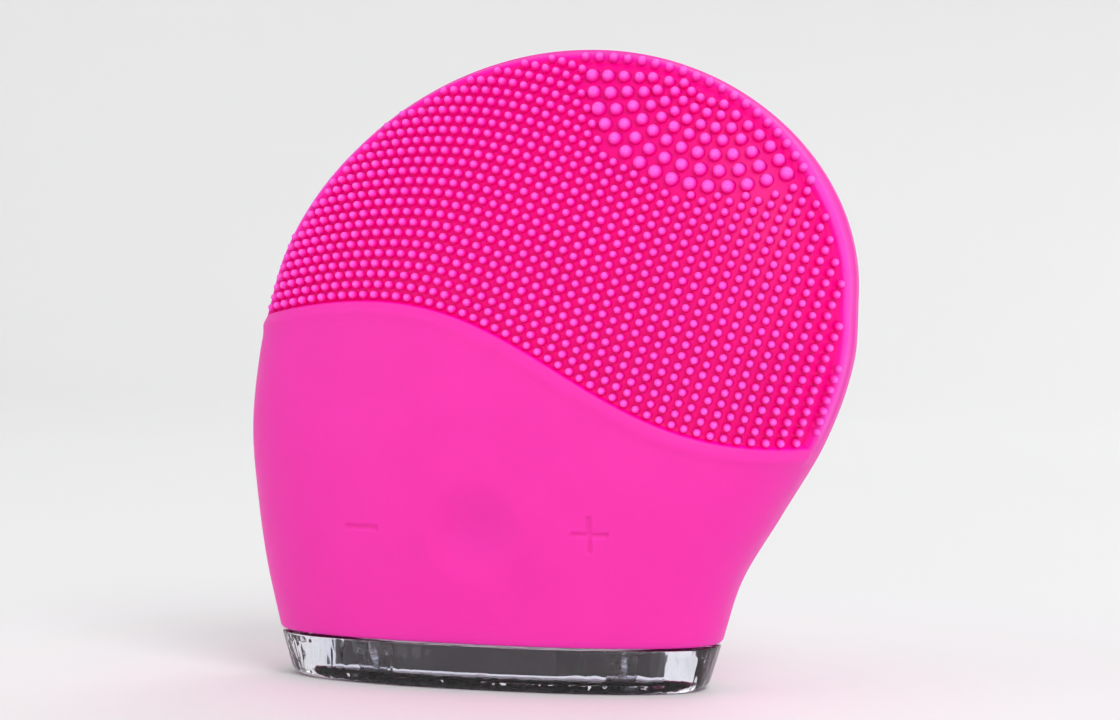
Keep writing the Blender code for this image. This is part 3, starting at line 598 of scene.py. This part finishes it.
def touch_points(name, places, radii, profile, sides, seed):
    """One mesh of many soft pins that stand on the field's floor, at front-view places."""
    x, z = places.T
    inside = (z < HEIGHT - CROWN_ROOM) & ~np.isnan(front_y(x, z))
    places, radii = places[inside], radii[inside]
    x, z = places.T
    y, normal = front_y(x, z), front_normal(x, z)
    keep = rim_distance(y, z, normal[:, 1]) > RIM_ROOM
    keep &= ~np.isnan(normal).any(-1)
    x, y, z, normal, radii = x[keep], y[keep], z[keep], normal[keep], radii[keep]
    random = np.random.default_rng(seed)
    forward = np.array((0.0, -AXIS_FORWARD, 0.0))
    axis = AXIS_OUTWARD * normal + forward + random.normal(0, AXIS_SCATTER, normal.shape)
    axis /= np.linalg.norm(axis, axis=-1, keepdims=True)
    end = np.stack((x, y, z), -1) + TIP_PROUD * normal
    side = np.cross(axis, (0.0, 0.0, 1.0))
    side /= np.linalg.norm(side, axis=-1, keepdims=True)
    other = np.cross(axis, side)
    radii = radii * random.normal(1.0, SIZE_SCATTER, len(radii))

    across, depth = np.array(profile, float).T
    angle = 2 * np.pi * np.arange(sides) / sides
    spread = np.stack((np.cos(angle), np.sin(angle)), -1)
    rings = across[1:-1, None, None] * spread
    count, rows = len(x), len(profile) - 2
    frame_axes = np.stack((side, other), 1)
    flat = np.einsum("rks,nsd->nrkd", rings, frame_axes) * radii[:, None, None, None]
    body = end[:, None, None, :] + flat - depth[None, 1:-1, None, None] * axis[:, None, None, :]
    tops = end[:, None, :] - depth[None, [0, -1], None] * axis[:, None, :]
    points = np.concatenate((body.reshape(count, -1, 3), tops), 1)

    faces = tube_faces(rows, sides)
    top, bottom, last = rows * sides, rows * sides + 1, (rows - 1) * sides
    faces += [((k + 1) % sides, k, top) for k in range(sides)]
    faces += [(last + k, last + (k + 1) % sides, bottom) for k in range(sides)]
    per = rows * sides + 2
    all_faces = [tuple(n * per + corner for corner in face) for n in range(count) for face in faces]
    rise = 1 - np.clip(depth / (TIP_PROUD + FLOOR_DEPTH), 0, 1)
    lift = np.concatenate((np.repeat(rise[1:-1], sides), rise[[0, -1]]))
    return outward(add_mesh(name, points.reshape(-1, 3), all_faces, np.tile(lift, count)))


def make_touch_points():
    """The fine field, and the large fan with the row that borders it, as two pieces."""
    border = border_places()
    fine = fine_places()
    fine = fine[clear_of(fine, border, BORDER_ROOM_FINE)]
    places, radii = fan_places()
    free = clear_of(places, border, BORDER_ROOM)
    places = np.concatenate((places[free], border))
    radii = np.concatenate((radii[free], np.full(len(border), BORDER_RADIUS)))
    return [touch_points("fine_touch_points", fine, np.full(len(fine), FINE_RADIUS),
                         FINE_PROFILE, FINE_SIDES, FINE_SEED),
            touch_points("large_touch_points", places, radii,
                         LARGE_PROFILE, LARGE_SIDES, LARGE_SEED)]


# ---------------------------------------------------------------- clear base and its screws

def make_clear_base():
    """The clear foot: rounded outside, hollow under the lip, with two bosses to screw through."""
    angles = 2 * np.pi * (np.arange(BASE_SIDES) + 0.5) / BASE_SIDES
    middle, half_width, front, back = section(SLEEVE_FOOT)

    def ring(height, extra):
        drawn = BASE_TAPER * (SLEEVE_FOOT - height) + extra
        return superellipse(middle, half_width - drawn, front - drawn, back - drawn, height, angles)

    def opening(height, drawn=0.0):
        half_depth = LIP_HALF_DEPTH - drawn
        return superellipse(0, LIP_HALF_LENGTH - drawn, half_depth, half_depth, height, angles)

    under = [ring(BASE_ROUND * (1 - np.cos(t)), BASE_ROUND * (1 - np.sin(t)))
             for t in np.linspace(0, np.pi / 2, 8)]
    sides = [ring(z, 0.0) for z in np.linspace(BASE_ROUND, BASE_TOP - BASE_TOP_ROUND, 8)[1:]]
    top = [ring(BASE_TOP - BASE_TOP_ROUND * (1 - np.sin(t)), BASE_TOP_ROUND * (1 - np.cos(t)))
           for t in np.linspace(0, np.pi / 2, 5)[1:]]
    rings = np.array(under + sides + top)
    base = outward(capped_loft("clear_foot", rings, (0, 0, 0), (0, 0, BASE_TOP)))
    inside = [opening(BASE_FLOOR + CAVITY_ROUND * (1 - np.cos(t)), CAVITY_ROUND * (1 - np.sin(t)))
              for t in np.linspace(0, np.pi / 2, 6)]
    inside.append(opening(BASE_TOP + 1))
    cavity = capped_loft("base_cavity", np.array(inside), (0, 0, BASE_FLOOR), (0, 0, BASE_TOP + 1))
    centres = [(x, 0, 0) for x in (-BOSS_X, BOSS_X)]
    apply_boolean(outward(cavity), [lathe("boss", BOSS_PROFILE, centre) for centre in centres])
    apply_boolean(base, [cavity])
    apply_boolean(base, [lathe("boss_hole", BOSS_HOLE_PROFILE, centre, sides=48)
                         for centre in centres])
    shade(base, 32)
    return base


def make_base_screw(name, x):
    """A self-tapping screw: a threaded shank, a pan head and a cross in it."""
    sides = 32
    angle = 2 * np.pi * np.arange(sides) / sides
    levels = np.linspace(SCREW_FOOT, THREAD_TOP, 150)
    phase = (levels[:, None] / THREAD_PITCH - angle[None, :] / (2 * np.pi)) % 1.0
    crest = ease(1 - np.abs(phase - 0.5) / THREAD_WIDTH)
    fade = ease((levels - THREAD_START) / THREAD_RUN_IN)
    fade = fade * ease((THREAD_END - levels) / THREAD_RUN_OUT)
    core = CORE_RADIUS * (1 - TIP_TAPER * ease((levels - TAPER_START) / TAPER_LENGTH))
    radius = core[:, None] + THREAD_RISE * crest * fade[:, None]
    across, depth = x + radius * np.cos(angle), radius * np.sin(angle)
    rings = np.stack(np.broadcast_arrays(across, depth, levels[:, None]), -1)
    shank = outward(capped_loft(name, rings, (x, 0, SCREW_FOOT), (x, 0, SCREW_TIP)))
    apply_boolean(shank, [lathe("head", SCREW_HEAD_PROFILE, (x, 0, 0), sides=48)], "UNION")
    slots = []
    long, thin = CROSS_HALF_LENGTH, CROSS_HALF_WIDTH
    for half_x, half_y in ((long, thin), (thin, long)):
        bm = bmesh.new()
        bmesh.ops.create_cube(bm, size=2 * MM)
        bmesh.ops.scale(bm, vec=(half_x, half_y, CROSS_DEPTH), verts=bm.verts)
        bmesh.ops.translate(bm, vec=Vector((x, 0, CROSS_Z)) * MM, verts=bm.verts)
        mesh = bpy.data.meshes.new("slot")
        bm.to_mesh(mesh)
        bm.free()
        slots.append(bpy.data.objects.new("slot", mesh))
        bpy.context.scene.collection.objects.link(slots[-1])
    apply_boolean(shank, slots)
    shade(shank, 35)
    return shank


# ---------------------------------------------------------------- materials

class Finish:
    """A Principled material fed by procedural nodes in the piece's own coordinates, in metres."""

    def __init__(self, name, roughness, **constants):
        self.material = bpy.data.materials.new(name)
        self.material.use_nodes = True
        self.tree = self.material.node_tree
        self.shader = self.tree.nodes["Principled BSDF"]
        self.shader.inputs["Roughness"].default_value = roughness
        for socket, value in constants.items():
            self.shader.inputs[socket.replace("_", " ")].default_value = value
        self.place = self.tree.nodes.new("ShaderNodeTexCoord").outputs["Object"]

    def link(self, a, b):
        self.tree.links.new(a, b)

    def noise(self, size_mm, detail=3.0, stretch=(1, 1, 1)):
        """Smooth noise whose features are about size_mm across."""
        where = self.place
        if stretch != (1, 1, 1):
            mapping = self.tree.nodes.new("ShaderNodeMapping")
            mapping.inputs["Scale"].default_value = stretch
            self.link(self.place, mapping.inputs["Vector"])
            where = mapping.outputs["Vector"]
        node = self.tree.nodes.new("ShaderNodeTexNoise")
        node.inputs["Scale"].default_value = 1 / (size_mm * MM)
        node.inputs["Detail"].default_value = detail
        self.link(where, node.inputs["Vector"])
        return node.outputs["Fac"]

    def cells(self, size_mm, feature="F1"):
        """Distances in irregular cells about size_mm across."""
        node = self.tree.nodes.new("ShaderNodeTexVoronoi")
        node.feature = feature
        node.inputs["Scale"].default_value = 1 / (size_mm * MM)
        self.link(self.place, node.inputs["Vector"])
        return node.outputs["Distance"]

    def bands(self, size_mm, direction, distortion):
        """Wavy bands about size_mm apart along an axis."""
        node = self.tree.nodes.new("ShaderNodeTexWave")
        node.bands_direction = direction
        node.inputs["Scale"].default_value = 0.314 / (size_mm * MM)
        node.inputs["Distortion"].default_value = distortion
        self.link(self.place, node.inputs["Vector"])
        return node.outputs["Fac"]

    def attribute(self, name):
        node = self.tree.nodes.new("ShaderNodeAttribute")
        node.attribute_name = name
        return node.outputs["Fac"]

    def ramp(self, factor, stops):
        """Colours along a factor, as (place, colour)."""
        node = self.tree.nodes.new("ShaderNodeValToRGB")
        elements = node.color_ramp.elements
        while len(elements) < len(stops):
            elements.new(0.5)
        for element, (place, colour) in zip(elements, stops):
            element.position = place
            element.color = (*colour, 1.0)
        self.link(factor, node.inputs["Fac"])
        return node.outputs["Color"]

    def scaled(self, factor, low, high):
        """A noise's usual range, 0.25 to 0.75, spread over low to high."""
        node = self.tree.nodes.new("ShaderNodeMapRange")
        node.inputs["To Min"].default_value = low
        node.inputs["To Max"].default_value = high
        node.inputs["From Min"].default_value = 0.25
        node.inputs["From Max"].default_value = 0.75
        self.link(factor, node.inputs["Value"])
        return node.outputs["Result"]

    def multiplied(self, colour_a, colour_b):
        node = self.tree.nodes.new("ShaderNodeMix")
        node.data_type = "RGBA"
        node.blend_type = "MULTIPLY"
        node.inputs["Factor"].default_value = 1.0
        self.link(colour_a, node.inputs["A"])
        self.link(colour_b, node.inputs["B"])
        return node.outputs["Result"]

    def colour(self, output):
        self.link(output, self.shader.inputs["Base Color"])

    def rough(self, factor, low, high):
        self.link(self.scaled(factor, low, high), self.shader.inputs["Roughness"])

    def bump(self, height, depth_mm):
        """Add fine relief on top of any relief already there."""
        node = self.tree.nodes.new("ShaderNodeBump")
        node.inputs["Strength"].default_value = 1.0
        node.inputs["Distance"].default_value = depth_mm * MM
        self.link(height, node.inputs["Height"])
        if self.shader.inputs["Normal"].is_linked:
            self.link(self.shader.inputs["Normal"].links[0].from_socket, node.inputs["Normal"])
        self.link(node.outputs["Normal"], self.shader.inputs["Normal"])


def make_silicone():
    """Satin silicone whose colour follows the mesh's lift, with painted bounce light on the field's
    floor and flanks and a painted highlight towards the tips.
    """
    made = Finish("pink_silicone_finish", 0.42, Subsurface_Weight=0.6, Subsurface_Scale=0.0022,
                  Specular_IOR_Level=0.15)
    made.shader.inputs["Subsurface Radius"].default_value = (1.0, 0.28, 0.55)
    # Only the 0.5 stop is the silicone's own colour.  The stops below it are brighter and redder:
    # painted bounce light on the field's floor and the pins' lower flanks.  The stops above it are
    # paler: painted light on the upper flanks and a painted highlight on the tips, partly also the
    # thin tips' own paleness.
    colour_with_painted_light = made.ramp(made.attribute("lift"), (
        (0.0, (1.0, 0.0, 0.27)), (0.35, (1.0, 0.0, 0.47)), (0.5, (0.88, 0.038, 0.43)),
        (0.62, (1.0, 0.05, 0.56)), (1.0, (1.0, 0.14, 0.68))))
    mottle = made.ramp(made.noise(9.0), ((0.35, (0.97, 0.96, 0.97)), (0.65, (1.0, 1.0, 1.0))))
    made.colour(made.multiplied(colour_with_painted_light, mottle))
    made.rough(made.noise(2.5), 0.38, 0.50)
    made.bump(made.noise(0.22, 2.0), 0.006)
    made.bump(made.noise(6.0, 2.0), 0.003)
    return made.material


def make_clear():
    made = Finish("clear_plastic_finish", 0.03, Transmission_Weight=1.0, IOR=1.49,
                  Specular_IOR_Level=0.35)
    made.colour(made.ramp(made.noise(7.0), ((0.3, (0.88, 0.89, 1.0)), (0.7, (0.96, 0.97, 1.0)))))
    made.rough(made.noise(1.5), 0.015, 0.06)
    made.bump(made.noise(1.6, 1.0, (1, 1, 0.12)), 0.20)
    return made.material


def moulded(name, dark, light, roughness, grain_mm=0.12, depth_mm=0.006, **constants):
    """Fine-grained moulded plastic or rubber with slight mottling and uneven gloss."""
    made = Finish(name, roughness, **constants)
    made.colour(made.ramp(made.noise(5.0), ((0.3, dark), (0.7, light))))
    made.rough(made.noise(1.2), roughness - 0.06, roughness + 0.08)
    made.bump(made.noise(grain_mm, 2.0), depth_mm)
    return made.material


def metal(name, dark, light, roughness):
    """Drawn or turned metal: fine streaks that vary both gloss and tone."""
    made = Finish(name, roughness, Metallic=1.0)
    streaks = made.noise(1.0, 3.0, (1, 1, 18))
    made.colour(made.ramp(streaks, ((0.3, dark), (0.7, light))))
    made.rough(streaks, roughness - 0.08, roughness + 0.10)
    made.bump(streaks, 0.004)
    return made.material


def make_board():
    made = Finish("green_board_finish", 0.35, Coat_Weight=0.4)
    tracks = made.cells(2.2, "DISTANCE_TO_EDGE")
    made.colour(made.ramp(tracks, ((0.10, (0.05, 0.30, 0.10)), (0.16, (0.01, 0.12, 0.05)))))
    made.rough(made.noise(1.0), 0.28, 0.42)
    made.bump(tracks, 0.03)
    return made.material


def make_foil():
    made = Finish("silver_foil_finish", 0.32, Metallic=0.9)
    creases = made.noise(3.0, 5.0)
    made.colour(made.ramp(creases, ((0.3, (0.58, 0.58, 0.60)), (0.7, (0.78, 0.78, 0.80)))))
    made.rough(creases, 0.24, 0.42)
    made.bump(creases, 0.08)
    return made.material


def make_foam():
    made = Finish("grey_foam_finish", 0.95)
    made.colour(made.ramp(made.cells(0.35), ((0.1, (0.13, 0.13, 0.14)), (0.6, (0.30, 0.30, 0.32)))))
    made.bump(made.cells(0.35), 0.1)
    return made.material


def make_winding():
    made = Finish("brass_finish", 0.32, Metallic=1.0)
    rings = made.bands(0.35, "X", 0.4)
    made.colour(made.ramp(rings, ((0.2, (0.55, 0.30, 0.13)), (0.8, (0.80, 0.56, 0.28)))))
    made.rough(made.noise(0.6), 0.25, 0.42)
    made.bump(rings, 0.02)
    return made.material


def paint(thing, finish):
    thing.data.materials.clear()
    thing.data.materials.append(finish)


def set_cad_finishes(finishes):
    """Give every CAD node that still shows the finish of its record slot."""
    slots = {part["node"]: part["material_slot"] for part in frame["record"]["subparts"]}
    for name, node in NODES.items():
        finish = finishes[slots[name]]
        for holder in node.material_slots:
            holder.material = finish


# ---------------------------------------------------------------- stage, light and camera

def make_stage():
    """A pale round floor that sweeps up all round, far from the brush."""
    turn = np.linspace(0, np.pi / 2, 20)
    swept = FLOOR_RADIUS + FLOOR_SWEEP * np.sin(turn[1:])
    radius = np.concatenate((FLOOR_RADIUS * np.arange(1, 9) / 8, swept))[:, None]
    height = np.concatenate((np.zeros(8), FLOOR_SWEEP * (1 - np.cos(turn[1:]))))[:, None]
    angle = 2 * np.pi * np.arange(FLOOR_SIDES) / FLOOR_SIDES
    across, depth = radius * np.cos(angle), radius * np.sin(angle)
    rings = np.stack(np.broadcast_arrays(across, depth, height), -1)
    rows, columns = rings.shape[:2]
    faces = [face[::-1] for face in tube_faces(rows, columns)]
    faces += [(k, (k + 1) % columns, rows * columns) for k in range(columns)]
    floor = add_mesh("floor", np.concatenate((rings.reshape(-1, 3), [(0, 0, 0)])), faces)
    made = Finish("floor_finish", 0.75)
    mottle = made.noise(400.0)
    made.colour(made.ramp(mottle, ((0.3, (0.89, 0.89, 0.90)), (0.7, (0.91, 0.91, 0.91)))))
    paint(floor, made.material)


def add_light(name, place, size, power):
    """A round area light that faces the middle of the brush."""
    lamp = bpy.data.lights.new(name, "AREA")
    lamp.shape = "DISK"
    lamp.size = size * MM
    lamp.energy = power
    thing = bpy.data.objects.new(name, lamp)
    thing.location = Vector(place) * MM
    thing.rotation_euler = (Vector(MIDDLE) - Vector(place)).to_track_quat("-Z", "Y").to_euler()
    bpy.context.scene.collection.objects.link(thing)


def make_lights():
    world = bpy.data.worlds.new("studio")
    world.use_nodes = True
    background = world.node_tree.nodes["Background"]
    background.inputs["Color"].default_value = (1.0, 1.0, 1.0, 1.0)
    background.inputs["Strength"].default_value = WORLD_STRENGTH
    bpy.context.scene.world = world
    for light in LIGHTS:
        add_light(*light)


def make_camera():
    azimuth, elevation = math.radians(CAMERA_AZIMUTH), math.radians(CAMERA_ELEVATION)
    level = math.cos(elevation)
    back = Vector((math.sin(azimuth) * level, -math.cos(azimuth) * level, math.sin(elevation)))
    camera = bpy.data.cameras.new("camera")
    camera.sensor_width = CAMERA_SENSOR
    camera.lens = CAMERA_LENS
    camera.shift_x, camera.shift_y = CAMERA_SHIFT
    camera.clip_start = 0.01
    camera.clip_end = 20.0
    thing = bpy.data.objects.new("camera", camera)
    roll = Matrix.Rotation(math.radians(CAMERA_ROLL), 4, "Z")
    turn = back.to_track_quat("Z", "Y").to_matrix().to_4x4() @ roll
    thing.matrix_world = Matrix.Translation((Vector(MIDDLE) + back * CAMERA_DISTANCE) * MM) @ turn
    bpy.context.scene.collection.objects.link(thing)
    bpy.context.scene.camera = thing


# ---------------------------------------------------------------- put together

def make_finishes():
    """One finish for every material slot of the record."""
    return {
        "pink_silicone": make_silicone(),
        "clear_plastic": make_clear(),
        "black_plastic": moulded("black_plastic_finish", (0.006, 0.006, 0.009),
                                 (0.014, 0.014, 0.019), 0.38, Specular_IOR_Level=0.2),
        "white_plastic": moulded("white_plastic_finish", (0.74, 0.74, 0.72),
                                 (0.84, 0.84, 0.82), 0.45),
        "steel": metal("steel_finish", (0.56, 0.56, 0.58), (0.82, 0.82, 0.84), 0.26),
        "brass": make_winding(),
        "green_board": make_board(),
        "silver_foil": make_foil(),
        "black_rubber": moulded("black_rubber_finish", (0.018, 0.018, 0.018), (0.035, 0.035, 0.036),
                                0.75, 0.3, 0.02),
        "grey_foam": make_foam(),
        "red_wire": moulded("red_wire_finish", (0.45, 0.012, 0.012), (0.62, 0.025, 0.02), 0.45),
    }


def build():
    finishes = make_finishes()
    set_cad_finishes(finishes)

    def place(piece, slot):
        paint(piece, finishes[slot])
        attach(piece, BODY)

    skin = make_skin()
    place(skin, "pink_silicone")
    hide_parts("silicone_sleeve")
    for piece in make_touch_points():
        place(piece, "pink_silicone")

    base = make_clear_base()
    place(base, "clear_plastic")
    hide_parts("clear_base")
    for side, x in (("left", -BOSS_X), ("right", BOSS_X)):
        screw = make_base_screw(f"threaded_screw_{side}", x)
        place(screw, "steel")
        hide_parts(f"base_screw_{side}")

    make_stage()
    make_lights()
    make_camera()
    scene = bpy.context.scene
    scene.view_settings.view_transform = "Standard"
    # Light bounces often between the close-set touch-points and through the clear base's walls.
    scene.cycles.max_bounces = 20
    scene.cycles.diffuse_bounces = 10
    scene.cycles.transmission_bounces = 18


build()
